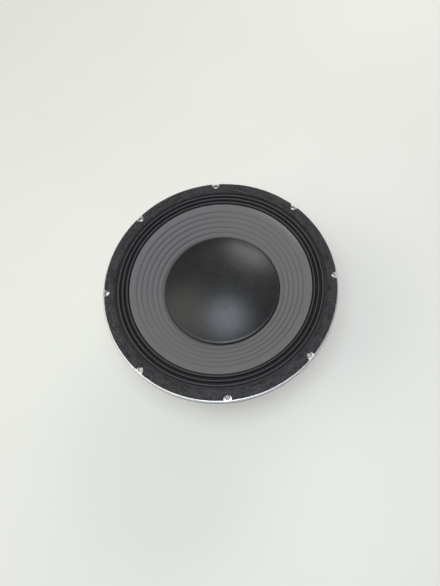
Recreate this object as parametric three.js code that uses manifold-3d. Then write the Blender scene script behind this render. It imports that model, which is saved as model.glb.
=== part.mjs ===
// A 12-inch car subwoofer speaker: pressed steel frame, ribbed paper cone, pleated cloth surround,
// ferrite ring motor and a pair of push terminals on one leg of the frame.
// Millimetres, +Z out of the front. The origin is the centre of the motor's back face.

import * as THREE from 'three';
import { mergeVertices } from 'three/addons/utils/BufferGeometryUtils.js';
import Module from 'manifold-3d';

const wasm = await Module();
wasm.setup();

// Facets around a full turn
const ROUND = 48;
const SOFT_ROUND = 32;
const SMALL_ROUND = 16;
const TINY_ROUND = 8;

const GAP = 0.3;                    // between glued or seated neighbours

// Motor, from the back face forward
const YOKE_RADIUS = 75;
const YOKE_THICKNESS = 8;
const MAGNET_RADIUS = 78;
const MAGNET_BORE_RADIUS = 46;
const MAGNET_HEIGHT = 20;
const TOP_PLATE_RADIUS = 75;
const TOP_PLATE_THICKNESS = 8;
const TOP_PLATE_BORE_RADIUS = 41.2;
const POLE_RADIUS = 36.7;
const POLE_RISE = 2;                // of the pole above the top plate
const VENT_RADIUS = 12;
const SCREEN_RADIUS = 13.7;
const SCREEN_THICKNESS = 0.8;
const MAGNET_Z = YOKE_THICKNESS;
const TOP_PLATE_Z = MAGNET_Z + MAGNET_HEIGHT;
const MOTOR_TOP_Z = TOP_PLATE_Z + TOP_PLATE_THICKNESS;

// Frame
const FLANGE_Z = 128;               // front face of the mounting flange
const FRAME_RADIUS = 156;
const SHEET = 1.6;
const LIP_DROP = 6;                 // of the turned-down rim
const WELL_RADIUS = 139.6;          // middle of the sheet where the flange bends down
const WELL_FOOT_RADIUS = 136.8;
const WELL_DEPTH = 14;
const LEDGE_DEPTH = 61.5;           // of the spider ledge below the flange
const LEDGE_OUTER_RADIUS = 95;
const LEDGE_INNER_RADIUS = 80;
const BASE_OUTER_RADIUS = 76;
const BASE_BORE_RADIUS = 53;
const LEG_TOP_RADIUS = 127;
const LEG_TOP_DEPTH = 22;
const LEG_COUNT = 8;
const WINDOW_INNER_RADIUS = 98.5;
const WINDOW_OUTER_RADIUS = 123.5;
const WINDOW_HALF_ANGLE = THREE.MathUtils.degToRad(15);
const WINDOW_CORNER = 6;
const HOLE_COUNT = 8;
const HOLE_CIRCLE_RADIUS = 149.5;
const HOLE_RADIUS = 2.75;
const RIVET_COUNT = 6;
const RIVET_CIRCLE_RADIUS = 64;
const RIVET_RADIUS = 2.2;

// Gasket
const GASKET_OUTER_RADIUS = 153;
const GASKET_INNER_RADIUS = 139.9;
const GASKET_HEIGHT = 5;
const GASKET_SLOPE_RADIUS = 143.4;  // where the top starts to fall toward the bore
const GASKET_SLOPE_DROP = 1.6;
const GASKET_REBATE_RADIUS = 146.4;
const GASKET_REBATE = 1.3;
const NOTCH_HALF_WIDTH = 5.2;
const NOTCH_END_RADIUS = 146.2;     // deepest point of a notch

// Moving parts
const CONE_THICKNESS = 1.2;
const CONE_RADIUS = 120.8;
const CONE_NECK_RADIUS = 39.1;
const RIB_COUNT = 6;                // grooves pressed round the cone
const RIB_PITCH = 6.4;
const LAST_RIB_RADIUS = 110.9;
const RIB_HALF_WIDTH = 1.6;
const RIB_DEPTH = 0.8;
const CAP_RADIUS = 78;
const CAP_HEIGHT = 20;
const CAP_THICKNESS = 1;
const CAP_SEAT_DEPTH = 16.9;        // of the cap's edge below the flange
const CAP_SKIRT_HEIGHT = 2.4;       // of the sloping edge below the dome
const CAP_SKIRT_RUN = 2.2;
const FORMER_RADIUS = 38.2;
const FORMER_WALL = 0.5;
const FORMER_BOTTOM_Z = 19;
const FORMER_TOP_Z = 86;
const WINDING_WALL = 1.4;
const WINDING_HEIGHT = 22;
const SPIDER_THICKNESS = 0.6;
const SURROUND_THICKNESS = 0.7;

// Push terminals, laid out on the outer face of the frame's leg at -Y
const LEG_RUN = LEG_TOP_RADIUS - LEDGE_OUTER_RADIUS;
const LEG_RISE = LEDGE_DEPTH - LEG_TOP_DEPTH;
const LEG_ANGLE = Math.atan2(LEG_RISE, LEG_RUN);
const LEG_MIDDLE_RADIUS = (LEG_TOP_RADIUS + LEDGE_OUTER_RADIUS) / 2;
const LEG_MIDDLE_Z = FLANGE_Z - (LEG_TOP_DEPTH + LEDGE_DEPTH) / 2;
const TERMINAL_PITCH = 14;
const PLATE_WIDTH = 28;
const PLATE_LENGTH = 28;
const PLATE_THICKNESS = 4;
const PLATE_CORNER = 3;
const BARREL_RADIUS = 6;
const BARREL_TOP = 13;              // above the leg, as are all terminal heights
const BARREL_BORE_RADIUS = 4.8;
const BARREL_FLOOR = 1.6;
const WIRE_HOLE_RADIUS = 1.7;
const BUTTON_TRAVEL = 3;
const BUTTON_STEM_RADIUS = 4.5;
const BUTTON_CAP_RADIUS = 5.6;
const BUTTON_BOTTOM = 7.3;
const BUTTON_TOP = 19;
const BUTTON_CAP_Z = BARREL_TOP + BUTTON_TRAVEL + GAP;
const BARREL_WIRE_Z = 8.6;
const STUD_RADIUS = 1.5;
const STUD_HOLE_RADIUS = 3;
const PLATE_RIVET_OFFSET = 10.5;
const PLATE_RIVET_RADIUS = 1.5;
const LUG_INNER_Z = -4.4;           // inner face of the lug, behind the leg
const LUG_THICKNESS = 0.8;
const LUG_WIDTH = 6;
const LUG_LENGTH = 12;

const LEAD_RADIUS = 1;
const LEAD_STEPS = 22;
const ANCHOR_SIZE = [5, 1, 6];

// ---- materials ----

function finish(color, roughness, metalness) {
  return new THREE.MeshStandardMaterial({ color, roughness, metalness });
}

const materials = {
  plated: finish(0xc4c6c9, 0.35, 0.9),
  blackened: finish(0x2b2c2e, 0.5, 0.6),
  ferrite: finish(0x3a3a3d, 0.8, 0.1),
  copper: finish(0xb06a3c, 0.4, 0.9),
  aluminium: finish(0xaeb0b3, 0.4, 0.8),
  brass: finish(0xc9a86a, 0.35, 0.9),
  paper: finish(0x6e6a6d, 0.9, 0),
  cap: finish(0x2c2d31, 0.45, 0),
  cloth: finish(0x2a2a2c, 0.95, 0),
  spider: finish(0xb98e4c, 0.9, 0),
  rubber: finish(0x3a3a3b, 0.85, 0),
  blackPlastic: finish(0x1c1c1e, 0.4, 0),
  redPlastic: finish(0xa81f1c, 0.4, 0),
};

// ---- geometry helpers ----

// Turns a closed outline of [radius, z] points about Z. Outlines that begin and end on the axis
// stay open there.
function turned(outline, facets = ROUND) {
  const points = outline.map(([radius, z]) => new THREE.Vector2(radius, z));
  const onAxis = points[0].x === 0 && points.at(-1).x === 0;
  if (THREE.ShapeUtils.area(points) < 0) points.reverse();
  if (!onAxis) points.push(points[0].clone());
  const geometry = new THREE.LatheGeometry(points, facets);
  geometry.rotateX(Math.PI / 2);
  return geometry;
}

// A line through [radius, z] corners. A corner with a third number is cut off that far from it.
function bentLine(corners) {
  const at = ([radius, z]) => new THREE.Vector2(radius, z);
  return corners.flatMap((entry, i) => {
    const corner = at(entry);
    const bend = entry[2];
    if (!bend) return [corner];
    return [corners[i - 1], corners[i + 1]].map((neighbour) => (
      at(neighbour).sub(corner).setLength(bend).add(corner)
    ));
  });
}

// The outline of a sheet of even thickness whose middle follows a line.
function sheetOutline(line, thickness) {
  const across = (from, to) => {
    const along = to.clone().sub(from).normalize();
    return new THREE.Vector2(-along.y, along.x);
  };
  const last = line.length - 1;
  const side = (offset) => line.map((point, i) => {
    const before = across(line[Math.max(i - 1, 0)], line[Math.max(i, 1)]);
    const after = across(line[Math.min(i, last - 1)], line[Math.min(i + 1, last)]);
    const middle = before.clone().add(after).normalize();
    const shift = middle.multiplyScalar(offset / middle.dot(after));
    return [point.x + shift.x, point.y + shift.y];
  });
  return [...side(thickness / 2), ...side(-thickness / 2).reverse()];
}

function sheetRing(line, thickness, facets) {
  return turned(sheetOutline(line, thickness), facets);
}

// A rod between two heights on the Z axis.
function rod(radius, bottom, top, facets = SMALL_ROUND) {
  const geometry = new THREE.CylinderGeometry(radius, radius, top - bottom, facets);
  geometry.rotateX(Math.PI / 2);
  geometry.translate(0, 0, (bottom + top) / 2);
  return geometry;
}

function roundedRectangle(width, length, corner) {
  const x = width / 2;
  const y = length / 2;
  const shape = new THREE.Shape();
  shape.absarc(x - corner, y - corner, corner, 0, Math.PI / 2);
  shape.absarc(corner - x, y - corner, corner, Math.PI / 2, Math.PI);
  shape.absarc(corner - x, corner - y, corner, Math.PI, Math.PI * 1.5);
  shape.absarc(x - corner, corner - y, corner, Math.PI * 1.5, Math.PI * 2);
  return shape;
}

function extruded(shape, bottom, top, curveSegments = 4) {
  const geometry = new THREE.ExtrudeGeometry(shape, {
    depth: top - bottom,
    bevelEnabled: false,
    curveSegments,
  });
  geometry.translate(0, 0, bottom);
  return geometry;
}

function toSolid(geometry) {
  const bare = geometry.clone();
  bare.deleteAttribute('normal');
  bare.deleteAttribute('uv');
  const merged = mergeVertices(bare, 1e-4);
  const corners = merged.index.array;
  const triangles = [];
  for (let i = 0; i < corners.length; i += 3) {
    const [a, b, c] = corners.slice(i, i + 3);
    if (a !== b && b !== c && c !== a) triangles.push(a, b, c);
  }
  return new wasm.Manifold(new wasm.Mesh({
    numProp: 3,
    vertProperties: Float32Array.from(merged.attributes.position.array),
    triVerts: Uint32Array.from(triangles),
  }));
}

function toGeometry(solid) {
  const { vertProperties, triVerts } = solid.getMesh();
  const geometry = new THREE.BufferGeometry();
  geometry.setAttribute('position', new THREE.BufferAttribute(vertProperties, 3));
  geometry.setIndex(new THREE.BufferAttribute(triVerts, 1));
  geometry.computeVertexNormals();
  return geometry;
}

function cut(body, tools) {
  return toGeometry(tools.reduce((solid, tool) => solid.subtract(toSolid(tool)), toSolid(body)));
}

function joined(geometries) {
  return toGeometry(geometries.map(toSolid).reduce((whole, piece) => whole.add(piece)));
}

// Copies of a geometry at even steps around Z, the first turned by start.
function around(count, start, geometry) {
  return Array.from({ length: count }, (_, i) => (
    geometry.clone().rotateZ(start + (i * 2 * Math.PI) / count)
  ));
}

function named(name, geometry, material, position = [0, 0, 0]) {
  const mesh = new THREE.Mesh(geometry, material);
  mesh.name = name;
  mesh.position.set(...position);
  return mesh;
}

// ---- frame ----

function frameLine() {
  return bentLine([
    [FRAME_RADIUS - SHEET / 2, FLANGE_Z - LIP_DROP],
    [FRAME_RADIUS - SHEET / 2, FLANGE_Z - SHEET / 2, 1.5],
    [WELL_RADIUS, FLANGE_Z - SHEET / 2],
    [WELL_FOOT_RADIUS, FLANGE_Z - WELL_DEPTH],
    [LEG_TOP_RADIUS, FLANGE_Z - LEG_TOP_DEPTH],
    [LEDGE_OUTER_RADIUS, FLANGE_Z - LEDGE_DEPTH],
    [LEDGE_INNER_RADIUS, FLANGE_Z - LEDGE_DEPTH],
    [BASE_OUTER_RADIUS, MOTOR_TOP_Z + SHEET / 2],
    [BASE_BORE_RADIUS, MOTOR_TOP_Z + SHEET / 2],
  ]);
}

function windowShape() {
  const shape = new THREE.Shape();
  const inner = WINDOW_INNER_RADIUS;
  const outer = WINDOW_OUTER_RADIUS;
  const side = WINDOW_HALF_ANGLE;
  const innerEnd = side - WINDOW_CORNER / inner;
  const outerEnd = side - WINDOW_CORNER / outer;
  const polar = (radius, angle) => [radius * Math.cos(angle), radius * Math.sin(angle)];
  shape.moveTo(...polar(inner, -innerEnd));
  shape.absarc(0, 0, inner, -innerEnd, innerEnd, false);
  shape.quadraticCurveTo(...polar(inner, side), ...polar(inner + WINDOW_CORNER, side));
  shape.lineTo(...polar(outer - WINDOW_CORNER, side));
  shape.quadraticCurveTo(...polar(outer, side), ...polar(outer, outerEnd));
  shape.absarc(0, 0, outer, outerEnd, -outerEnd, true);
  shape.quadraticCurveTo(...polar(outer, -side), ...polar(outer - WINDOW_CORNER, -side));
  shape.lineTo(...polar(inner + WINDOW_CORNER, -side));
  shape.quadraticCurveTo(...polar(inner, -side), ...polar(inner, -innerEnd));
  return shape;
}

function frameGeometry(terminalPlace) {
  const window = extruded(windowShape(), FLANGE_Z - LEDGE_DEPTH - 10, FLANGE_Z - 10, 3);
  const bolt = rod(HOLE_RADIUS, FLANGE_Z - 3, FLANGE_Z + 1).translate(HOLE_CIRCLE_RADIUS, 0, 0);
  const rivet = rod(RIVET_RADIUS + GAP, MOTOR_TOP_Z - 1, MOTOR_TOP_Z + 3, TINY_ROUND)
    .translate(RIVET_CIRCLE_RADIUS, 0, 0);
  const stud = (x) => rod(STUD_HOLE_RADIUS, -4, 2, TINY_ROUND).translate(x, 0, 0);
  const plateRivet = (y) => rod(PLATE_RIVET_RADIUS + GAP, -4, 2, TINY_ROUND).translate(0, y, 0);
  const terminalHoles = [
    stud(TERMINAL_PITCH / 2),
    stud(-TERMINAL_PITCH / 2),
    plateRivet(PLATE_RIVET_OFFSET),
    plateRivet(-PLATE_RIVET_OFFSET),
  ].map((hole) => hole.applyMatrix4(terminalPlace));
  return cut(sheetRing(frameLine(), SHEET), [
    ...around(LEG_COUNT, Math.PI / LEG_COUNT, window),
    ...around(HOLE_COUNT, 0, bolt),
    ...around(RIVET_COUNT, 0, rivet),
    ...terminalHoles,
  ]);
}

function rivetGeometry(radius, bottom, seat, headRadius, headHeight) {
  return turned([
    [0, bottom],
    [radius, bottom],
    [radius, seat],
    [headRadius, seat],
    [headRadius * 0.6, seat + headHeight],
    [0, seat + headHeight],
  ], TINY_ROUND);
}

// ---- gasket and surround ----

function gasketGeometry() {
  const ring = turned([
    [GASKET_INNER_RADIUS, FLANGE_Z + GASKET_REBATE],
    [GASKET_REBATE_RADIUS, FLANGE_Z + GASKET_REBATE],
    [GASKET_REBATE_RADIUS, FLANGE_Z],
    [GASKET_OUTER_RADIUS, FLANGE_Z],
    [GASKET_OUTER_RADIUS, FLANGE_Z + GASKET_HEIGHT],
    [GASKET_SLOPE_RADIUS, FLANGE_Z + GASKET_HEIGHT],
    [GASKET_INNER_RADIUS, FLANGE_Z + GASKET_HEIGHT - GASKET_SLOPE_DROP],
  ]);
  const end = NOTCH_END_RADIUS + NOTCH_HALF_WIDTH;
  const notch = new THREE.Shape();
  notch.absarc(end, 0, NOTCH_HALF_WIDTH, Math.PI / 2, Math.PI * 1.5, false);
  notch.lineTo(GASKET_OUTER_RADIUS + 2, -NOTCH_HALF_WIDTH);
  notch.lineTo(GASKET_OUTER_RADIUS + 2, NOTCH_HALF_WIDTH);
  const tool = extruded(notch, FLANGE_Z - 1, FLANGE_Z + GASKET_HEIGHT + 1);
  return cut(ring, around(HOLE_COUNT, 0, tool));
}

// Glued under the cone's edge, then three rolls, then flat under the gasket.
function surroundGeometry() {
  const line = [
    [115.5, -2.1],
    [120.4, -0.35],
    [121.3, -0.5],
    [123.7, 3],
    [126.5, -0.8],
    [129.35, 3],
    [132.2, -0.8],
    [135, 3],
    [138.2, 0.65],
    [146, 0.65],
  ].map(([radius, height]) => new THREE.Vector2(radius, FLANGE_Z + height));
  return sheetRing(line, SURROUND_THICKNESS, SOFT_ROUND);
}

// ---- cone assembly ----

function coneGeometry() {
  const slopeStart = [58, FLANGE_Z - 27.2];
  const slopeEnd = [114, FLANGE_Z - 1.1];
  const slope = (slopeEnd[1] - slopeStart[1]) / (slopeEnd[0] - slopeStart[0]);
  const onSlope = (radius, drop) => [radius, slopeStart[1] + slope * (radius - slopeStart[0]) - drop];
  const ribs = Array.from({ length: RIB_COUNT }, (_, i) => {
    const radius = LAST_RIB_RADIUS - (RIB_COUNT - 1 - i) * RIB_PITCH;
    return [
      onSlope(radius - RIB_HALF_WIDTH, 0),
      onSlope(radius, RIB_DEPTH),
      onSlope(radius + RIB_HALF_WIDTH, 0),
    ];
  });
  return sheetRing(bentLine([
    [CONE_NECK_RADIUS, FLANGE_Z - 45],
    [CONE_NECK_RADIUS, FLANGE_Z - 41],
    [...slopeStart, 6],
    ...ribs.flat(),
    slopeEnd,
    [CONE_RADIUS, FLANGE_Z + 1.4],
  ]), CONE_THICKNESS, SOFT_ROUND);
}

function capGeometry() {
  const seat = FLANGE_Z - CAP_SEAT_DEPTH;
  const domeRadius = CAP_RADIUS - CAP_SKIRT_RUN;
  const domeHeight = CAP_HEIGHT - CAP_SKIRT_HEIGHT;
  const sphere = (domeRadius ** 2 + domeHeight ** 2) / (2 * domeHeight);
  const centreZ = seat + CAP_HEIGHT - sphere;
  const steps = 5;
  const arc = (radius) => {
    const rimAngle = Math.acos((sphere - domeHeight) / radius);
    return Array.from({ length: steps + 1 }, (_, i) => {
      const angle = rimAngle * (1 - i / steps);
      return [i === steps ? 0 : radius * Math.sin(angle), centreZ + radius * Math.cos(angle)];
    });
  };
  return turned([
    ...arc(sphere - CAP_THICKNESS).reverse(),
    [CAP_RADIUS - 1.5 * CAP_THICKNESS, seat],
    [CAP_RADIUS, seat],
    ...arc(sphere),
  ], SOFT_ROUND);
}

function spiderGeometry() {
  const line = [
    [38.9, -56],
    [38.9, -60],
    [43, -60],
    [48.5, -57.5],
    [54.5, -62.5],
    [60.5, -57.5],
    [66.5, -62.5],
    [72.5, -57.5],
    [78, -60.1],
    [92.5, -60.1],
  ].map(([radius, height]) => new THREE.Vector2(radius, FLANGE_Z + height));
  return sheetRing(line, SPIDER_THICKNESS, SOFT_ROUND);
}

function tube(outerRadius, wall, bottom, top) {
  return turned([
    [outerRadius - wall, bottom],
    [outerRadius, bottom],
    [outerRadius, top],
    [outerRadius - wall, top],
  ], SOFT_ROUND);
}

// ---- motor ----

function yokeGeometry() {
  const poleTop = MOTOR_TOP_Z + POLE_RISE;
  const recess = SCREEN_THICKNESS + 2 * GAP;
  return turned([
    [VENT_RADIUS, recess],
    [SCREEN_RADIUS + GAP, recess],
    [SCREEN_RADIUS + GAP, 0],
    [YOKE_RADIUS - 1.5, 0],
    [YOKE_RADIUS, 1.5],
    [YOKE_RADIUS, YOKE_THICKNESS],
    [POLE_RADIUS, YOKE_THICKNESS],
    [POLE_RADIUS, poleTop - 1],
    [POLE_RADIUS - 1, poleTop],
    [VENT_RADIUS, poleTop],
  ]);
}

function screenGeometry() {
  const disc = rod(SCREEN_RADIUS, GAP, GAP + SCREEN_THICKNESS, SOFT_ROUND);
  const hole = rod(1.8, -1, 2, TINY_ROUND);
  return cut(disc, [hole, ...around(6, 0, hole.clone().translate(7, 0, 0))]);
}

function magnetGeometry() {
  return turned([
    [MAGNET_BORE_RADIUS, MAGNET_Z],
    [MAGNET_RADIUS - 1, MAGNET_Z],
    [MAGNET_RADIUS, MAGNET_Z + 1],
    [MAGNET_RADIUS, TOP_PLATE_Z - 1],
    [MAGNET_RADIUS - 1, TOP_PLATE_Z],
    [MAGNET_BORE_RADIUS, TOP_PLATE_Z],
  ]);
}

function topPlateGeometry() {
  const ring = turned([
    [TOP_PLATE_BORE_RADIUS, TOP_PLATE_Z],
    [TOP_PLATE_RADIUS, TOP_PLATE_Z],
    [TOP_PLATE_RADIUS, MOTOR_TOP_Z - 1],
    [TOP_PLATE_RADIUS - 1, MOTOR_TOP_Z],
    [TOP_PLATE_BORE_RADIUS, MOTOR_TOP_Z],
  ]);
  const hole = rod(RIVET_RADIUS + GAP, TOP_PLATE_Z + 1.7, MOTOR_TOP_Z + 1, TINY_ROUND)
    .translate(RIVET_CIRCLE_RADIUS, 0, 0);
  return cut(ring, around(RIVET_COUNT, 0, hole));
}

// ---- push terminals, in the leg's own frame: +Z away from the leg, +Y up along it ----

function terminalPlateGeometry() {
  const outline = roundedRectangle(PLATE_WIDTH, PLATE_LENGTH, PLATE_CORNER);
  const sides = [TERMINAL_PITCH / 2, -TERMINAL_PITCH / 2];
  const barrels = sides.map((x) => (
    rod(BARREL_RADIUS, PLATE_THICKNESS - 1, BARREL_TOP, SMALL_ROUND).translate(x, 0, 0)
  ));
  const body = joined([extruded(outline, GAP, PLATE_THICKNESS), ...barrels]);
  const wireLength = PLATE_LENGTH;
  const wireHole = rod(WIRE_HOLE_RADIUS, -wireLength / 2, wireLength / 2, TINY_ROUND)
    .rotateX(Math.PI / 2)
    .translate(0, 0, BARREL_WIRE_Z);
  const bores = sides.flatMap((x) => [
    rod(BARREL_BORE_RADIUS, BARREL_FLOOR, BARREL_TOP + 1, SMALL_ROUND).translate(x, 0, 0),
    rod(STUD_RADIUS + GAP, -1, BARREL_FLOOR + 1, TINY_ROUND).translate(x, 0, 0),
    wireHole.clone().translate(x, 0, 0),
  ]);
  const rivetHole = rod(PLATE_RIVET_RADIUS + GAP, -1, PLATE_THICKNESS + 1, TINY_ROUND);
  return cut(body, [
    ...bores,
    rivetHole.clone().translate(0, PLATE_RIVET_OFFSET, 0),
    rivetHole.clone().translate(0, -PLATE_RIVET_OFFSET, 0),
  ]);
}

function buttonGeometry() {
  const body = turned([
    [0, BUTTON_BOTTOM],
    [BUTTON_STEM_RADIUS, BUTTON_BOTTOM],
    [BUTTON_STEM_RADIUS, BUTTON_CAP_Z],
    [BUTTON_CAP_RADIUS, BUTTON_CAP_Z],
    [BUTTON_CAP_RADIUS, BUTTON_TOP - 0.8],
    [BUTTON_CAP_RADIUS - 0.8, BUTTON_TOP],
    [0, BUTTON_TOP],
  ], SMALL_ROUND);
  const wireHole = rod(WIRE_HOLE_RADIUS, -8, 8, TINY_ROUND)
    .rotateX(Math.PI / 2)
    .translate(0, 0, BARREL_WIRE_Z + BUTTON_TRAVEL);
  return cut(body, [wireHole]);
}

function buttonSpringGeometry() {
  const bottom = BARREL_FLOOR + GAP;
  const top = BUTTON_BOTTOM - GAP;
  return turned([
    [2.6, bottom],
    [3.8, bottom],
    [3.8, top],
    [2.6, top],
  ], SMALL_ROUND);
}

// A stud through the plate and the leg, with a solder tab behind the leg.
function lugGeometry() {
  const tab = extruded(
    roundedRectangle(LUG_WIDTH, LUG_LENGTH, 2),
    LUG_INNER_Z,
    LUG_INNER_Z + LUG_THICKNESS,
    3,
  ).translate(0, LUG_LENGTH / 2 - LUG_WIDTH / 2, 0);
  return joined([tab, rod(STUD_RADIUS, LUG_INNER_Z + LUG_THICKNESS / 2, 3.4, TINY_ROUND)]);
}

function plateRivetGeometry() {
  const tail = -SHEET - 1.4;
  return turned([
    [0, tail],
    [2.6, tail],
    [2.6, -SHEET - 2 * GAP],
    [PLATE_RIVET_RADIUS, -SHEET - 2 * GAP],
    [PLATE_RIVET_RADIUS, PLATE_THICKNESS + GAP],
    [3, PLATE_THICKNESS + GAP],
    [2.4, PLATE_THICKNESS + 1.5],
    [0, PLATE_THICKNESS + 1.8],
  ], TINY_ROUND);
}

// ---- tinsel leads ----

// From the tab behind the leg, in a slack curve over the spider, to the anchor on the former.
function leadGeometry(x) {
  const route = [
    [112.2, 95.6],
    [108.6, 98],
    [103, 97.8],
    [96, 94.6],
    [88, 89],
    [79, 83.4],
    [69, 79.4],
    [59, 77.4],
    [50, 76.9],
    [44, 77.4],
    [39.6, 78],
  ].map(([radius, z]) => new THREE.Vector3(x, -radius, z));
  const section = new THREE.Shape();
  section.absarc(0, 0, LEAD_RADIUS, 0, Math.PI * 2);
  return new THREE.ExtrudeGeometry(section, {
    steps: LEAD_STEPS,
    curveSegments: 4,
    extrudePath: new THREE.CatmullRomCurve3(route),
  });
}

// ---- assembly ----

const speaker = new THREE.Group();

const motor = new THREE.Group();
motor.add(
  named('yoke', yokeGeometry(), materials.blackened),
  named('vent_screen', screenGeometry(), materials.blackened),
  named('magnet', magnetGeometry(), materials.ferrite),
  named('top_plate', topPlateGeometry(), materials.blackened),
);
speaker.add(motor);

const terminals = new THREE.Group();
terminals.position.set(
  0,
  -LEG_MIDDLE_RADIUS - (SHEET / 2) * Math.sin(LEG_ANGLE),
  LEG_MIDDLE_Z - (SHEET / 2) * Math.cos(LEG_ANGLE),
);
terminals.rotation.x = Math.PI - LEG_ANGLE;
terminals.updateMatrix();
terminals.add(named('terminal_plate', terminalPlateGeometry(), materials.blackPlastic));
[
  ['positive', 1, materials.redPlastic],
  ['negative', -1, materials.blackPlastic],
].forEach(([pole, side, plastic]) => {
  const place = [(side * TERMINAL_PITCH) / 2, 0, 0];
  terminals.add(
    named(`button_${pole}`, buttonGeometry(), plastic, place),
    named(`button_spring_${pole}`, buttonSpringGeometry(), materials.plated, place),
    named(`contact_lug_${pole}`, lugGeometry(), materials.brass, place),
  );
});
['upper', 'lower'].forEach((end, i) => {
  const place = [0, PLATE_RIVET_OFFSET * (1 - 2 * i), 0];
  terminals.add(named(`terminal_rivet_${end}`, plateRivetGeometry(), materials.plated, place));
});
speaker.add(terminals);

const frame = new THREE.Group();
frame.add(
  named('basket', frameGeometry(terminals.matrix), materials.plated),
  named('gasket', gasketGeometry(), materials.rubber),
  named('surround', surroundGeometry(), materials.cloth),
  named('spider', spiderGeometry(), materials.spider),
);
const frameRivet = rivetGeometry(RIVET_RADIUS, TOP_PLATE_Z + 2, MOTOR_TOP_Z + SHEET + GAP, 4.2, 2.4);
around(RIVET_COUNT, 0, frameRivet.translate(RIVET_CIRCLE_RADIUS, 0, 0)).forEach((rivet, i) => {
  frame.add(named(`frame_rivet_${i + 1}`, rivet, materials.plated));
});
speaker.add(frame);

const windingMiddle = TOP_PLATE_Z + TOP_PLATE_THICKNESS / 2;
const windingBottom = windingMiddle - WINDING_HEIGHT / 2;
const moving = new THREE.Group();
moving.add(
  named('cone', coneGeometry(), materials.paper),
  named('dust_cap', capGeometry(), materials.cap),
  named(
    'voice_coil_former',
    tube(FORMER_RADIUS, FORMER_WALL, FORMER_BOTTOM_Z, FORMER_TOP_Z),
    materials.aluminium,
  ),
  named(
    'voice_coil_winding',
    tube(
      FORMER_RADIUS + GAP + WINDING_WALL,
      WINDING_WALL,
      windingBottom,
      windingBottom + WINDING_HEIGHT,
    ),
    materials.copper,
  ),
);
['positive', 'negative'].forEach((pole, i) => {
  const x = (TERMINAL_PITCH / 2) * (1 - 2 * i);
  const angle = Math.asin(x / FORMER_RADIUS);
  const anchor = named(
    `lead_anchor_${pole}`,
    new THREE.BoxGeometry(...ANCHOR_SIZE),
    materials.copper,
    [
      (FORMER_RADIUS + GAP + ANCHOR_SIZE[1] / 2) * Math.sin(angle),
      -(FORMER_RADIUS + GAP + ANCHOR_SIZE[1] / 2) * Math.cos(angle),
      78,
    ],
  );
  anchor.rotation.z = angle;
  moving.add(anchor);
  speaker.add(named(`tinsel_lead_${pole}`, leadGeometry(x), materials.copper));
});
speaker.add(moving);

export default speaker;
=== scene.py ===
"""A 12-inch car subwoofer speaker, face up on a pale floor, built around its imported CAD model.

Outlines are written in millimetres, as (radius, z) or (x, y), and scaled to metres as a mesh is made.
"""
import math

import bmesh
import bpy
import numpy as np
from mathutils import Matrix, Vector


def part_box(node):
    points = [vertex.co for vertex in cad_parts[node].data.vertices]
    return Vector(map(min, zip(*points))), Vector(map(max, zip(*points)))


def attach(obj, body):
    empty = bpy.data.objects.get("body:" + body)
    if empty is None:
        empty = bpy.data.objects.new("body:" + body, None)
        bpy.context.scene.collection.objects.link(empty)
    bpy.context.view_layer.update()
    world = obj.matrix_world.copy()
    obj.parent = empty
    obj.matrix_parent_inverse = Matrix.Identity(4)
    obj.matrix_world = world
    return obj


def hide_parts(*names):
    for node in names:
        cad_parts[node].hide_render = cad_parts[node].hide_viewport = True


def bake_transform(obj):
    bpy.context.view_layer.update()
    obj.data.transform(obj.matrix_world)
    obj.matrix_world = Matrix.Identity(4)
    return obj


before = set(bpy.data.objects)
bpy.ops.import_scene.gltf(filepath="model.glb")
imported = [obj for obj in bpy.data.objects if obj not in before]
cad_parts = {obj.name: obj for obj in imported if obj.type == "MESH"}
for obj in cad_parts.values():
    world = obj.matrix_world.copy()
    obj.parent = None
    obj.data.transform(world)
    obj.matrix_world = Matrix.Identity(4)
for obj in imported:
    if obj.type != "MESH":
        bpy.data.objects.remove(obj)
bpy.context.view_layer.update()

FRAME_BODY = "frame_and_motor"
CONE_BODY = "cone_assembly"
MM = 0.001


def top_mm(node):
    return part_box(node)[1].z / MM


def bottom_mm(node):
    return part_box(node)[0].z / MM


def radius_mm(node):
    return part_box(node)[1].x / MM


# ---- sizes from the frame ----

FLANGE = top_mm("basket")
FRAME_RADIUS = radius_mm("basket")
GASKET_TOP = top_mm("gasket")
MOTOR_TOP = top_mm("top_plate")
TOP_PLATE_BOTTOM = bottom_mm("top_plate")
MAGNET_BOTTOM = bottom_mm("magnet")
YOKE_RADIUS = radius_mm("yoke")
MAGNET_RADIUS = radius_mm("magnet")
TOP_PLATE_RADIUS = radius_mm("top_plate")
POLE_TOP = top_mm("yoke")
CAP_RADIUS = radius_mm("dust_cap")
CAP_BOTTOM = bottom_mm("dust_cap")
CAP_TOP = top_mm("dust_cap")
FORMER_RADIUS = radius_mm("voice_coil_former")
FORMER_BOTTOM = bottom_mm("voice_coil_former")
FORMER_TOP = top_mm("voice_coil_former")
WINDING_RADIUS = radius_mm("voice_coil_winding")
WINDING_BOTTOM = bottom_mm("voice_coil_winding")
WINDING_TOP = top_mm("voice_coil_winding")

# ---- sizes that the boxes don't give ----

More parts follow.
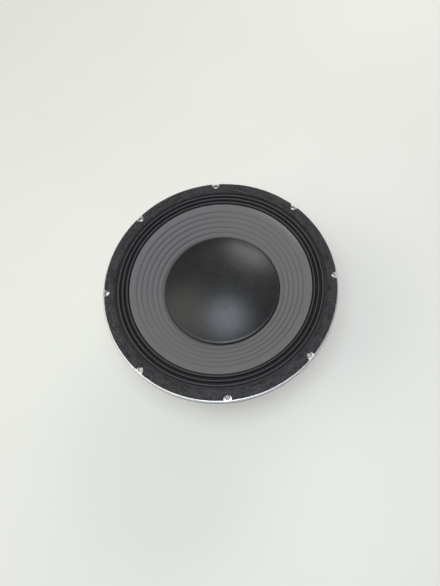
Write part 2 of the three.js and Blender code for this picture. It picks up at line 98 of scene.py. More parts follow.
SHEET = 1.6
LEDGE_DEPTH = 61.5
FLAT_RADIUS = 139.6
LEG_TOP_RADIUS = 127
LEG_TOP_DEPTH = 22
LEDGE_OUTER_RADIUS = 95
LEDGE_INNER_RADIUS = 80
MOTOR_SEAT_RADIUS = 76
FRAME_HOLE_RADIUS = 53
LEG_COUNT = 8
WINDOW_RADII = (98.5, 123.5)
WINDOW_HALF_ANGLE = math.radians(15)
WINDOW_CORNER = 6
HOLE_COUNT = 8
HOLE_CIRCLE_RADIUS = 149.5
HOLE_RADIUS = 2.75
RIVET_COUNT = 6
RIVET_CIRCLE_RADIUS = 64
GASKET_RADIUS = 153.2
GASKET_STEP_RADIUS = 146.9
GASKET_OFFSET = (0.4, -0.6)
CLOTH_SEAT = FLANGE + 1.3
NOTCH_HALF_WIDTH = 5.2
NOTCH_END_RADIUS = 146.2
CONE_RADIUS = 120.8
CONE_FOLD_RADIUS = 58
CONE_FOLD_DEPTH = 27.2
CONE_BREAK_RADIUS = 114
NECK_RADIUS = 39.1
ROLL_PITCH = 5.65
FIRST_CREST_RADIUS = 123.7
RIB_PITCH = 6.4
LAST_RIB_RADIUS = 110.4
RIB_CENTRE = (-1.5, 0.4)
RIB_COUNT = 6
RIB_DEPTH = 0.8

# ---- camera ----

AIM = Vector((67.5, -18.2, FLANGE)) * MM
DISTANCE = 686.5 * MM
DIRECTION = (-5, 68.8)
LENS = 32
SHIFT = -0.0904


def linked(name, data):
    made = bpy.data.objects.new(name, data)
    bpy.context.collection.objects.link(made)
    return made


def aimed(name, data, target, direction, distance):
    """A camera or lamp that looks at the target from a direction of azimuth and elevation, in degrees.

    Azimuth 0 is in front of the speaker, and 90 is on its right.
    """
    azimuth, elevation = (math.radians(d) for d in direction)
    back = Vector((
        math.sin(azimuth) * math.cos(elevation),
        -math.cos(azimuth) * math.cos(elevation),
        math.sin(elevation),
    ))
    made = linked(name, data)
    made.rotation_mode = "QUATERNION"
    made.rotation_quaternion = (-back).to_track_quat("-Z", "Y")
    made.location = target + back * distance
    return made


def make_camera():
    camera = aimed("camera", bpy.data.cameras.new("camera"), AIM, DIRECTION, DISTANCE)
    camera.data.sensor_width = 36
    camera.data.lens = LENS
    camera.data.shift_x = SHIFT
    camera.data.clip_start = 0.01
    bpy.context.scene.camera = camera


make_camera()

# ---- materials ----


class Graph:
    """A material's nodes. Every pattern is in millimetres of the row frame."""

    def __init__(self, name, **settings):
        self.material = bpy.data.materials.new(name)
        self.material.use_nodes = True
        self.tree = self.material.node_tree
        self.shader = self.tree.nodes["Principled BSDF"]
        for socket, value in settings.items():
            self.shader.inputs[socket.replace("_", " ")].default_value = value
        place = self.node("TexCoord").outputs["Object"]
        scaled = self.node("VectorMath", {0: place, 3: 1 / MM}, operation="SCALE")
        self.point = scaled.outputs["Vector"]

    def node(self, kind, inputs=None, **properties):
        made = self.tree.nodes.new("ShaderNode" + kind)
        for key, value in properties.items():
            setattr(made, key, value)
        for socket, value in (inputs or {}).items():
            if isinstance(value, bpy.types.NodeSocket):
                self.tree.links.new(value, made.inputs[socket])
            else:
                made.inputs[socket].default_value = value
        return made

    def noise(self, size, detail=3, roughness=0.5, point=None):
        """Noise whose features are about size millimetres across, from 0 to 1."""
        inputs = {
            "Vector": point or self.point,
            "Scale": 1 / size,
            "Detail": detail,
            "Roughness": roughness,
        }
        return self.node("TexNoise", inputs).outputs["Fac"]

    def maths(self, operation, first, second=0.0):
        return self.node("Math", {0: first, 1: second}, operation=operation).outputs[0]

    def times(self, first, second):
        return self.maths("MULTIPLY", first, second)

    def plus(self, first, second):
        return self.maths("ADD", first, second)

    def minus(self, first, second):
        return self.maths("SUBTRACT", first, second)

    def between(self, value, low, high, to_low=0.0, to_high=1.0):
        inputs = {"Value": value, "From Min": low, "From Max": high}
        inputs.update({"To Min": to_low, "To Max": to_high})
        return self.node("MapRange", inputs).outputs["Result"]

    def mixed(self, share, first, second):
        mix = self.node("Mix", {0: share, 6: first, 7: second}, data_type="RGBA")
        return mix.outputs[2]

    def laid(self, colour, share, strength, second):
        """The colour with some of a second one laid over it, most where share is 1."""
        return self.mixed(self.times(share, strength), colour, second)

    def parts(self):
        split = self.node("SeparateXYZ", {0: self.point})
        return split.outputs["X"], split.outputs["Y"], split.outputs["Z"]

    def flat(self, x, y):
        return self.node("CombineXYZ", {0: x, 1: y}).outputs[0]

    def measure(self, operation, first, second=(0, 0)):
        inputs = {0: first, 1: (*second, 0)}
        return self.node("VectorMath", inputs, operation=operation).outputs["Value"]

    def radius(self, centre=(0, 0)):
        x, y, _ = self.parts()
        return self.measure("DISTANCE", self.flat(x, y), centre)

    def towards(self, direction):
        """How far a point lies in a level direction, in millimetres."""
        return self.measure("DOT_PRODUCT", self.point, direction)

    def angle(self):
        x, y, _ = self.parts()
        return self.maths("ARCTAN2", y, x)

    def bump(self, height, depth, normal=None):
        """Adds height, from 0 to 1, as depth millimetres of relief."""
        inputs = {"Height": height, "Distance": depth * MM, "Strength": 1.0}
        if normal:
            inputs["Normal"] = normal
        return self.node("Bump", inputs).outputs["Normal"]

    def feed(self, **sockets):
        for name, socket in sockets.items():
            self.tree.links.new(socket, self.shader.inputs[name.replace("_", " ")])
        return self.material

    def surface(self, colour, roughness, relief, **others):
        return self.feed(Base_Color=colour, Roughness=roughness, Normal=relief, **others)


def grey(level, tint=(1, 1, 1)):
    return (level * tint[0], level * tint[1], level * tint[2], 1)


def plated_steel():
    g = Graph("zinc_plated_steel", Specular_IOR_Level=0.4)
    cloud = g.noise(22, 4, 0.6)
    spangle = g.noise(2.4, 2, 0.5)
    pits = g.between(g.noise(0.9, 4, 0.7), 0.62, 0.75)
    colour = g.mixed(g.between(cloud, 0.35, 0.65), grey(0.72, (1, 1, 1.01)), grey(0.82, (1, 0.99, 0.98)))
    colour = g.laid(colour, pits, 0.35, grey(0.34, (1, 0.95, 0.88)))
    _, _, height = g.parts()
    radius = g.radius()
    angle = g.angle()
    drawn = g.flat(g.times(angle, FRAME_RADIUS / 3), g.times(height, 0.07))
    marks = g.between(g.noise(1, 4, 0.65, drawn), 0.35, 0.7)
    colour = g.laid(colour, marks, 0.3, grey(0.5, (1, 1, 1.02)))
    # Painted shade: a dark band along the lower outer edge of the flange's lip.
    lip_edge_shade = g.between(height, FLANGE - 2.9, FLANGE - 2.1, 1, 0)
    lip_edge_shade = g.times(lip_edge_shade, g.maths("GREATER_THAN", radius, FRAME_RADIUS - 1))
    step = 2 * math.pi / HOLE_COUNT
    turned_by = g.minus(angle, g.maths("SNAP", g.plus(angle, step / 2), step))
    across_hole = g.times(g.maths("SINE", turned_by), radius)
    along_hole = g.minus(g.times(g.maths("COSINE", turned_by), radius), HOLE_CIRCLE_RADIUS)
    from_hole = g.measure("LENGTH", g.flat(across_hole, along_hole))
    # Painted shade: a dark ring round each bolt hole on the flange's top.
    hole_rim_shade = g.between(from_hole, HOLE_RADIUS + 0.3, HOLE_RADIUS + 1.1, 1, 0)
    hole_rim_shade = g.times(hole_rim_shade, g.maths("GREATER_THAN", height, FLANGE - 2))
    dark = g.maths("MAXIMUM", lip_edge_shade, hole_rim_shade)
    # Tarnish and painted shade: the steel round the far bolt holes, towards +Y, is painted darker and made
    # duller.
    tarnish_and_shade = g.times(g.between(from_hole, 5, 8, 1, 0), g.between(g.towards((-0.35, 0.94)), -60, 40))
    colour = g.laid(colour, tarnish_and_shade, 0.75, grey(0.26, (1, 1, 1.02)))
    # Painted shade: the lip's lower edge and the bolt hole rims are laid on dark, matte and barely
    # metallic.
    colour = g.mixed(dark, colour, grey(0.03, (1, 0.98, 0.95)))
    metallic = g.between(dark, 0, 1, 0.72, 0.1)
    roughness = g.plus(g.between(cloud, 0.3, 0.7, 0.28, 0.38), g.between(spangle, 0.2, 0.8, 0, 0.1))
    roughness = g.plus(roughness, g.times(marks, 0.06))
    roughness = g.plus(roughness, g.times(tarnish_and_shade, 0.2))
    roughness = g.maths("MAXIMUM", roughness, g.times(dark, 0.9))
    relief = g.bump(spangle, 0.012)
    relief = g.bump(g.noise(60, 2), 0.25, relief)
    return g.surface(colour, roughness, relief, Metallic=metallic)


def gasket_rubber():
    g = Graph("gasket_rubber", Specular_IOR_Level=0.3)
    grain = g.noise(0.55, 3, 0.6)
    mottle = g.noise(7, 5, 0.7)
    dust = g.between(g.noise(34, 6, 0.72), 0.5, 0.72)
    along = g.times(g.angle(), GASKET_RADIUS / 7)
    around_ring = g.flat(along, g.radius())
    streaks = g.between(g.noise(3.2, 4, 0.65, around_ring), 0.42, 0.6)
    scuffs = g.between(g.noise(4, 6, 0.85, around_ring), 0.6, 0.66)
    specks = g.between(g.noise(2.2, 3, 0.7), 0.52, 0.66)
    black = grey(0.002, (1.03, 0.97, 1.03))
    colour = g.mixed(g.between(mottle, 0.42, 0.58), black, grey(0.022, (1.03, 0.97, 1.02)))
    colour = g.laid(colour, streaks, 0.5, grey(0.044, (1.03, 0.97, 1.03)))
    colour = g.laid(colour, specks, 0.45, grey(0.085, (1.02, 0.97, 1.0)))
    colour = g.laid(colour, dust, 0.3, grey(0.06, (1, 0.97, 0.96)))
    colour = g.laid(colour, scuffs, 0.7, grey(0.16, (1, 0.98, 1)))
    roughness = g.between(mottle, 0.3, 0.7, 0.5, 0.8)
    relief = g.bump(grain, 0.10)
    relief = g.bump(mottle, 0.5, relief)
    return g.surface(colour, roughness, relief)


def weave(g, pitch):
    """Height of a plain weave whose threads are pitch millimetres apart, along X and Y."""
    x, y, _ = g.parts()
    drift = g.times(g.noise(14, 2), 2.2)
    turn = math.pi / pitch
    warp = g.maths("SINE", g.times(g.plus(x, drift), turn))
    weft = g.maths("SINE", g.times(g.plus(y, drift), turn))
    crossing = g.times(warp, weft)
    return g.between(crossing, -1, 1)


def surround_cloth():
    g = Graph("doped_cloth", Specular_IOR_Level=0.35)
    threads = weave(g, 0.62)
    patch = g.noise(11, 4, 0.6)
    dust = g.between(g.noise(26, 5, 0.7), 0.52, 0.75)
    _, _, height = g.parts()
    # Painted highlight: the roll crests are painted lighter than the valleys.
    crest = g.between(height, FLANGE + 1.6, FLANGE + 3.1)
    colour = g.mixed(threads, grey(0.009, (1.03, 0.98, 1.03)), grey(0.015, (1.03, 0.98, 1.03)))
    colour = g.mixed(crest, colour, grey(0.046, (1.02, 0.98, 1.03)))
    colour = g.laid(colour, dust, 0.22, grey(0.06, (1, 0.98, 0.95)))
    roughness = g.between(patch, 0.3, 0.7, 0.42, 0.62)
    relief = g.bump(threads, 0.10)
    relief = g.bump(patch, 0.18, relief)
    return g.surface(colour, roughness, relief)


def cone_paper():
    g = Graph("cone_paper", Specular_IOR_Level=0.25)
    fibres = g.noise(0.5, 5, 0.75)
    felt = g.noise(2.2, 4, 0.65)
    cloud = g.noise(48, 4, 0.6)
    radius = g.radius(RIB_CENTRE)
    # Dirt and painted shade in the rib grooves.
    phase = g.times(g.minus(radius, LAST_RIB_RADIUS), math.pi / RIB_PITCH)
    groove = g.between(g.maths("ABSOLUTE", g.maths("SINE", phase)), 0.0, 0.5, 1, 0)
    ribbed = g.maths("LESS_THAN", radius, LAST_RIB_RADIUS + RIB_PITCH / 2)
    groove = g.times(groove, ribbed)
    # Painted shade: the grooves are darkest towards the upper left and lower right.
    x, y, _ = g.parts()
    crossed = g.maths("DIVIDE", g.times(x, y), g.times(radius, radius))
    shade_by_direction = g.between(crossed, -0.5, 0.5, 0.95, 0.25)
    # Painted light and shade: the cone is painted darker towards the front (-Y) and lighter towards the
    # back, and warmer towards +X.
    drift = g.between(cloud, 0, 1, -50, 50)
    side = g.between(g.plus(x, drift), -80, 80)
    lit_towards_back = g.between(g.plus(y, drift), -90, 100)
    front_shade_colour = g.mixed(side, grey(0.118, (1.0, 0.985, 0.95)), grey(0.118, (1.04, 0.975, 0.95)))
    back_light_colour = g.mixed(side, grey(0.149, (1.0, 0.965, 0.97)), grey(0.155, (1.05, 0.965, 0.95)))
    colour = g.mixed(lit_towards_back, front_shade_colour, back_light_colour)
    colour = g.mixed(g.between(felt, 0.3, 0.75, 0, 0.4), colour, grey(0.152, (1.0, 0.98, 0.95)))
    colour = g.mixed(g.between(fibres, 0.55, 0.8, 0, 0.35), colour, grey(0.18, (1, 0.98, 0.95)))
    colour = g.laid(colour, groove, shade_by_direction, grey(0.055, (1, 0.98, 1.05)))
    at_edge = g.between(g.radius(), CONE_BREAK_RADIUS, CONE_RADIUS - 2.3)
    smear = g.times(at_edge, g.between(g.towards((0.72, 0.69)), 108, 117))
    smear = g.times(smear, g.between(felt, 0.35, 0.6))
    colour = g.laid(colour, smear, 0.5, grey(0.27, (1, 1, 0.97)))
    roughness = g.between(felt, 0.2, 0.8, 0.82, 0.95)
    relief = g.bump(fibres, 0.05)
    relief = g.bump(felt, 0.10, relief)
    return g.surface(colour, roughness, relief)


def cap_polymer():
    g = Graph("cap_polymer", Specular_IOR_Level=0.5, IOR=1.5)
    cloud = g.noise(30, 4, 0.6)
    peel = g.noise(1.7, 3, 0.65)
    grains = g.between(g.noise(0.45, 3, 0.7), 0.68, 0.78)
    smear = g.between(g.noise(18, 6, 0.75), 0.55, 0.8)
    stipple = g.noise(4, 4, 0.75)
    colour = g.mixed(cloud, grey(0.007, (1.0, 1.0, 0.97)), grey(0.011, (1.0, 1.0, 1.02)))
    colour = g.mixed(g.between(stipple, 0.5, 0.7, 0, 0.3), colour, grey(0.03, (1.0, 1.0, 1.04)))
    colour = g.laid(colour, smear, 0.2, grey(0.04))
    colour = g.laid(colour, grains, 0.5, grey(0.12))
    roughness = g.plus(g.between(cloud, 0.3, 0.7, 0.34, 0.4), g.times(smear, 0.12))
    roughness = g.plus(roughness, g.between(stipple, 0.35, 0.65, -0.02, 0.04))
    relief = g.bump(peel, 0.06)
    relief = g.bump(cloud, 0.3, relief)
    return g.surface(colour, roughness, relief)


def spider_cloth():
    g = Graph("resin_cotton", Specular_IOR_Level=0.35)
    threads = weave(g, 0.9)
    patch = g.noise(12, 4, 0.6)
    colour = g.mixed(threads, (0.20, 0.10, 0.028, 1), (0.47, 0.29, 0.10, 1))
    colour = g.mixed(g.between(patch, 0.35, 0.75, 0, 0.4), colour, (0.30, 0.17, 0.06, 1))
    roughness = g.between(patch, 0.3, 0.7, 0.6, 0.8)
    return g.surface(colour, roughness, g.bump(threads, 0.18))


def black_metal():
    g = Graph("black_passivated_steel", Metallic=0.55)
    cloud = g.noise(26, 4, 0.6)
    fine = g.noise(0.8, 3, 0.6)
    rings = g.noise(0.35, 2, 0.5, g.flat(g.radius(), 0.0))
    stretched = g.node("Mapping", {"Vector": g.point, "Scale": (0.08, 1, 1)}).outputs[0]
    scratches = g.between(g.noise(0.7, 3, 0.8, stretched), 0.7, 0.78)
    colour = g.mixed(g.between(cloud, 0.3, 0.7), grey(0.022, (1, 1, 1.05)), grey(0.040, (1, 0.99, 0.97)))
    colour = g.laid(colour, scratches, 0.5, grey(0.2))
    roughness = g.plus(g.between(cloud, 0.3, 0.7, 0.34, 0.46), g.between(fine, 0.3, 0.8, 0, 0.1))
    relief = g.bump(rings, 0.03)
    relief = g.bump(fine, 0.02, relief)
    return g.surface(colour, roughness, relief)


def ferrite():
    g = Graph("ground_ferrite", Specular_IOR_Level=0.5)
    speckle = g.noise(0.6, 4, 0.8)
    cloud = g.noise(17, 4, 0.6)
    chips = g.between(g.noise(2.8, 5, 0.75), 0.66, 0.72)
    colour = g.mixed(g.between(cloud, 0.3, 0.7), grey(0.045, (1, 1, 1.03)), grey(0.070))
    colour = g.mixed(g.between(speckle, 0.6, 0.75, 0, 0.5), colour, grey(0.15))
    colour = g.laid(colour, chips, 0.5, grey(0.02))
    roughness = g.between(speckle, 0.2, 0.8, 0.5, 0.8)
    relief = g.bump(speckle, 0.05)
    relief = g.bump(chips, -0.15, relief)
    return g.surface(colour, roughness, relief)


def metal(name, patches, dark, light, dullness, grain, depth, **settings):
    """A metal whose colour and gloss drift from patch to patch, over a fine grain."""
    g = Graph(name, **{"Metallic": 1.0, **settings})
    cloud = g.noise(*patches)
    colour = g.mixed(cloud, dark, light)
    return g.surface(colour, g.between(cloud, 0.3, 0.7, *dullness), g.bump(g.noise(*grain), depth))


def plastic(name, dark, light):
    g = Graph(name, Specular_IOR_Level=0.5)
    texture = g.noise(0.35, 2, 0.5)
    cloud = g.noise(7, 3, 0.6)
    scratches = g.between(g.noise(1.1, 4, 0.8), 0.68, 0.76)
    colour = g.mixed(cloud, dark, light)
    colour = g.laid(colour, scratches, 0.15, grey(0.3))
    roughness = g.between(cloud, 0.3, 0.7, 0.34, 0.5)
    return g.surface(colour, roughness, g.bump(texture, 0.02))


def glue():
    g = Graph("dried_glue", Specular_IOR_Level=0.25)
    cloud = g.noise(5, 4, 0.6)
    colour = g.mixed(cloud, grey(0.009), grey(0.022, (1, 0.98, 0.94)))
    # Lint and painted light: the seam is painted lighter towards the front left.
    lint_and_light = g.plus(g.towards((-0.87, -0.5)), g.between(cloud, 0.3, 0.7, -8, 8))
    colour = g.mixed(g.between(lint_and_light, 40, 66, 0, 0.75), colour, grey(0.10, (1, 0.98, 0.95)))
    roughness = g.between(cloud, 0.3, 0.7, 0.6, 0.8)
    return g.surface(colour, roughness, g.bump(g.noise(2, 4), 0.2))


MATERIALS = {
    "steel": plated_steel(),
    "gasket": gasket_rubber(),
    "surround": surround_cloth(),
    "cone": cone_paper(),
    "cap": cap_polymer(),
    "spider": spider_cloth(),
    "motor": black_metal(),
    "ferrite": ferrite(),
    "copper": metal(
        "enamelled_copper", (6, 3, 0.6), (0.50, 0.17, 0.06, 1), (0.72, 0.32, 0.14, 1),
        (0.25, 0.4), (0.8, 2), 0.02, Coat_Weight=0.4, Coat_Roughness=0.15,
    ),
    "former": metal(
        "former_foil", (10, 4, 0.6), grey(0.42, (1, 0.97, 0.9)), grey(0.60, (1, 0.98, 0.94)),
        (0.32, 0.5), (3, 3), 0.06, Metallic=0.9,
    ),
    "braid": metal(
        "copper_braid", (1.2, 4, 0.7), (0.62, 0.30, 0.14, 1), (0.80, 0.62, 0.48, 1),
        (0.35, 0.55), (0.35, 2), 0.08,
    ),
    "brass": metal(
        "stamped_brass", (5, 4, 0.65), (0.55, 0.38, 0.15, 1), (0.74, 0.56, 0.27, 1),
        (0.25, 0.45), (1.5, 3), 0.02,
    ),
    "solder": metal(
        "solder", (1.6, 4, 0.6), grey(0.48), grey(0.66, (1, 1, 0.98)),
        (0.2, 0.42), (1.6, 4, 0.6), 0.15,
    ),
    "black_plastic": plastic("black_plastic", grey(0.010), grey(0.017)),
    "red_plastic": plastic("red_plastic", (0.36, 0.012, 0.010, 1), (0.50, 0.022, 0.016, 1)),
    "glue": glue(),
}

# ---- mesh helpers ----


def new_object(name, points, faces):
    """An object from points in millimetres."""
    mesh = bpy.data.meshes.new(name)
    mesh.from_pydata((np.asarray(points, float) * MM).tolist(), [], faces)
    return linked(name, mesh)


def tidy(made):
    """Merges points that meet, drops faces with no area and turns every face outward."""
    shape = bmesh.new()
    shape.from_mesh(made.data)
    bmesh.ops.remove_doubles(shape, verts=shape.verts, dist=1e-7)
    bmesh.ops.dissolve_degenerate(shape, edges=shape.edges, dist=1e-8)
    bmesh.ops.recalc_face_normals(shape, faces=shape.faces)
    shape.to_mesh(made.data)
    shape.free()
    return made


def grid_faces(rows, columns, close_rows=True):
    """Quads over a grid of points that closes on itself along its columns."""
    faces = []
    for i in range(rows if close_rows else rows - 1):
        below = i * columns
        above = ((i + 1) % rows) * columns
        for j in range(columns):
            k = (j + 1) % columns
            faces.append((below + j, below + k, above + k, above + j))
    return faces


def turned(name, outline, steps=128, relief=None):
    """Turns an outline of (radius, z) about Z. One that starts and ends on the axis is left open there.

    relief(angle, radius, z) gives the new radius and z where the shape isn't quite round.
    """
    outline = np.asarray(outline, float)
    open_ends = outline[0, 0] < 1e-9 and outline[-1, 0] < 1e-9
    angles = np.arange(steps) * 2 * math.pi / steps
    radius = np.repeat(outline[:, :1], steps, axis=1)
    height = np.repeat(outline[:, 1:2], steps, axis=1)
    if relief:
        radius, height = relief(angles[None, :], radius, height)
    points = np.stack([radius * np.cos(angles), radius * np.sin(angles), height], axis=-1)
    faces = grid_faces(len(outline), steps, not open_ends)
    return tidy(new_object(name, points.reshape(-1, 3), faces))


def curve(start, middle, end, steps):
    """A curve from start to end that bends towards the middle point."""
    return [tuple(start * (1 - t) ** 2 + middle * 2 * t * (1 - t) + end * t * t)
            for t in (i / steps for i in range(steps + 1))]


def bent(corners, steps=6):
    """A line through (radius, z, bend) corners, where a curve starts bend millimetres before its corner."""
    points = [corners[0][:2]]
    for before, corner, after in zip(corners, corners[1:], corners[2:]):
        middle = Vector(corner[:2])
        bend = corner[2] if len(corner) > 2 else 0
        if not bend:
            points.append(tuple(middle))
            continue
        start = middle + (Vector(before[:2]) - middle).normalized() * bend
        end = middle + (Vector(after[:2]) - middle).normalized() * bend
        points += curve(start, middle, end, steps)
    points.append(corners[-1][:2])
    return points


def ring_outline(corners, steps=4):
    """A closed outline with every (radius, z, bend) corner rounded."""
    closed = bent([corners[-1], *corners, corners[0]], steps)
    return closed[1:-1]


def filled_in(line, step):
    """The same line with extra points, so that none of its stretches is longer than step."""
    points = [line[0]]
    for start, end in zip(line, line[1:]):
        count = max(1, math.ceil(math.dist(start, end) / step))
        for i in range(1, count + 1):
            points.append(tuple(np.asarray(start) + (np.asarray(end) - start) * i / count))
    return points


def across(line):
    """The unit normals of a line at each of its points."""
    along = np.gradient(np.asarray(line, float), axis=0)
    normal = np.stack([-along[:, 1], along[:, 0]], axis=1)
    return normal / np.linalg.norm(normal, axis=1, keepdims=True)


def sheet_outline(line, thickness):
    line = np.asarray(line, float)
    side = across(line) * thickness / 2
    return np.concatenate([line + side, (line - side)[::-1]])


def rod(name, radius, bottom, top, steps=32):
    return turned(name, [(0, bottom), (radius, bottom), (radius, top), (0, top)], steps)


def prism(name, outline, bottom, top):
    """A flat outline of (x, y) points between two heights."""
    count = len(outline)
    points = [(*p, bottom) for p in outline] + [(*p, top) for p in outline]
    faces = [(i, (i + 1) % count, (i + 1) % count + count, i + count) for i in range(count)]
    faces += [tuple(range(count))[::-1], tuple(range(count, 2 * count))]
    return tidy(new_object(name, points, faces))


def arc(centre, radius, start, end, steps=8):
    angles = np.linspace(start, end, steps + 1)
    return [(centre[0] + radius * math.cos(a), centre[1] + radius * math.sin(a)) for a in angles]


def rounded_rectangle(width, length, corner):
    x = width / 2 - corner
    y = length / 2 - corner
    quarter = math.pi / 2
    centres = [(x, y), (-x, y), (-x, -y), (x, -y)]
    return [p for i, c in enumerate(centres) for p in arc(c, corner, i * quarter, (i + 1) * quarter)]


def moved(made, matrix):
    made.data.transform(matrix)
    return made


def shift(x, y, z=0):
    return Matrix.Translation(Vector((x, y, z)) * MM)


def turn(angle, axis="Z"):
    return Matrix.Rotation(angle, 4, axis)


def copies(made, matrices):
    """The piece and its copies, one at each matrix, as one object."""
    shape = bmesh.new()
    for matrix in matrices:
        mesh = made.data.copy()
        mesh.transform(matrix)
        shape.from_mesh(mesh)
        bpy.data.meshes.remove(mesh)
    shape.to_mesh(made.data)
    shape.free()
    return made


def around(made, count, start=0.0):
    return copies(made, [turn(start + i * 2 * math.pi / count) for i in range(count)])


def settled(made):
    """Makes the modifiers' result the object's own mesh."""
    seen = made.evaluated_get(bpy.context.evaluated_depsgraph_get())
    mesh = bpy.data.meshes.new_from_object(seen)
    made.modifiers.clear()
    made.data = mesh
    return made


def combined(made, tools, operation="DIFFERENCE"):
    """Cuts the tools out of an object, or adds them to it, and removes them."""
    for tool in tools:
        step = made.modifiers.new("combine", "BOOLEAN")
        step.operation = operation
        step.solver = "EXACT"
        step.object = tool
        settled(made)
        bpy.data.objects.remove(tool)
    return made


def eased(made, width, steps=2, angle=50):
    """Rounds the edges sharper than an angle."""
    step = made.modifiers.new("ease", "BEVEL")
    step.width = width * MM
    step.segments = steps
    step.limit_method = "ANGLE"
    step.angle_limit = math.radians(angle)
    step.use_clamp_overlap = True
    return settled(made)


def tube(name, path, radius, sides=12, section=None):
    """A closed tube along a path of points. section(along, angle) gives its radius where that varies."""
    path = np.asarray(path, float)
    tangents = np.gradient(path, axis=0)
    tangents /= np.linalg.norm(tangents, axis=1, keepdims=True)
    along = np.concatenate([[0], np.cumsum(np.linalg.norm(np.diff(path, axis=0), axis=1))])
    angles = np.arange(sides) * 2 * math.pi / sides
    side = np.cross(tangents[0], (0.3, 0.5, 0.81))
    points = []
    for place, tangent, length in zip(path, tangents, along):
        side = side - tangent * np.dot(side, tangent)
        side /= np.linalg.norm(side)
        up = np.cross(tangent, side)
        width = section(length, angles) if section else radius
        points.append(
            place
            + (np.cos(angles) * width)[:, None] * side
            + (np.sin(angles) * width)[:, None] * up
        )
    faces = grid_faces(len(path), sides, close_rows=False)
    last = (len(path) - 1) * sides
    faces += [tuple(range(sides))[::-1], tuple(range(last, last + sides))]
    return tidy(new_object(name, np.concatenate(points), faces))


def through(points, step):
    """Points at most step apart on a smooth curve through the given points."""
    points = np.asarray(points, float)
    ends = np.concatenate([[2 * points[0] - points[1]], points, [2 * points[-1] - points[-2]]])
    found = [points[0]]
    for a, b, c, d in zip(ends, ends[1:], ends[2:], ends[3:]):
        count = max(1, math.ceil(np.linalg.norm(c - b) / step))
        for i in range(1, count + 1):
            t = i / count
            found.append(0.5 * (
                2 * b + (c - a) * t + (2 * a - 5 * b + 4 * c - d) * t * t
                + (3 * b - a - 3 * c + d) * t ** 3
            ))
    return np.array(found)


def finished(made, material, sharp=35):
    """Shades the piece smoothly up to an angle and gives it its material."""
    made.data.materials.clear()
    made.data.materials.append(MATERIALS[material])
    made.data.shade_smooth()
    made.data.set_sharp_from_angle(angle=math.radians(sharp))
    return made


def ease(t):
    t = np.clip(t, 0, 1)
    return t * t * (3 - 2 * t)


def radial_blend(made):
    """Bakes the ring's transform into its mesh and reads its points, which are not used further."""
    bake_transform(made)
    points = np.empty(len(made.data.vertices) * 3)
    made.data.vertices.foreach_get("co", points)


# ---- frame ----


def frame_line():
    return filled_in(bent([
        (FRAME_RADIUS - SHEET / 2, FLANGE - 6), (FRAME_RADIUS - SHEET / 2, FLANGE - SHEET / 2, 2),
        (FLAT_RADIUS, FLANGE - SHEET / 2, 2), (FLAT_RADIUS - 2.8, FLANGE - 14, 3),
        (LEG_TOP_RADIUS, FLANGE - LEG_TOP_DEPTH, 4), (LEDGE_OUTER_RADIUS, FLANGE - LEDGE_DEPTH, 4),
        (LEDGE_INNER_RADIUS, FLANGE - LEDGE_DEPTH, 3), (MOTOR_SEAT_RADIUS, MOTOR_TOP + SHEET / 2, 3),
        (FRAME_HOLE_RADIUS, MOTOR_TOP + SHEET / 2),
    ]), 2.5)


def frame_grid(steps=256):
    """The frame's sheet before cutting, with a groove pressed into every leg but the terminals' one."""
    line = np.array(frame_line())
    side = across(line)
    angles = np.arange(steps) * 2 * math.pi / steps
    pitch = 2 * math.pi / LEG_COUNT
    from_leg = (angles + pitch / 2) % pitch - pitch / 2
    bare_leg = np.abs((angles - 1.5 * math.pi + math.pi) % (2 * math.pi) - math.pi) > pitch / 2
    z = line[:, 1]
    along = ease((FLANGE - 25 - z) / 6) * ease((z - (FLANGE - 60)) / 6)
    width = line[:, :1] * np.abs(from_leg)[None, :]
    groove = 1.5 * along[:, None] * ease(1 - width / 6.5) * bare_leg[None, :]
    surfaces = []
    for half in (SHEET / 2, -SHEET / 2):
        offset = half - groove
        radius = line[:, :1] + side[:, :1] * offset
        height = line[:, 1:2] + side[:, 1:2] * offset
        surfaces.append(np.stack([radius * np.cos(angles), radius * np.sin(angles), height], -1))
    points = np.concatenate([surfaces[0], surfaces[1][::-1]])
    return new_object("basket_shell", points.reshape(-1, 3), grid_faces(2 * len(line), steps))


def window_outline():
    inner, outer = WINDOW_RADII
    side = WINDOW_HALF_ANGLE
    corner = WINDOW_CORNER

    def at(radius, angle):
        return Vector((radius * math.cos(angle), radius * math.sin(angle)))

    def rounded(start, middle, end):
        return curve(at(*start), at(*middle), at(*end), 8)

    inner_end = side - corner / inner
    outer_end = side - corner / outer
    return [
        *arc((0, 0), inner, -inner_end, inner_end, 14)[1:-1],
        *rounded((inner, inner_end), (inner, side), (inner + corner, side)),
        *rounded((outer - corner, side), (outer, side), (outer, outer_end)),
        *arc((0, 0), outer, outer_end, -outer_end, 16)[1:-1],
        *rounded((outer, -outer_end), (outer, -side), (outer - corner, -side)),
        *rounded((inner + corner, -side), (inner, -side), (inner, -inner_end)),
    ]


LEG_ANGLE = math.atan2(LEDGE_DEPTH - LEG_TOP_DEPTH, LEG_TOP_RADIUS - LEDGE_OUTER_RADIUS)
TERMINAL_PITCH = 14
terminal_place = (
    shift(
        0,
        -(LEG_TOP_RADIUS + LEDGE_OUTER_RADIUS) / 2 - SHEET / 2 * math.sin(LEG_ANGLE),
        FLANGE - (LEG_TOP_DEPTH + LEDGE_DEPTH) / 2 - SHEET / 2 * math.cos(LEG_ANGLE),
    )
    @ turn(math.pi - LEG_ANGLE, "X")
)


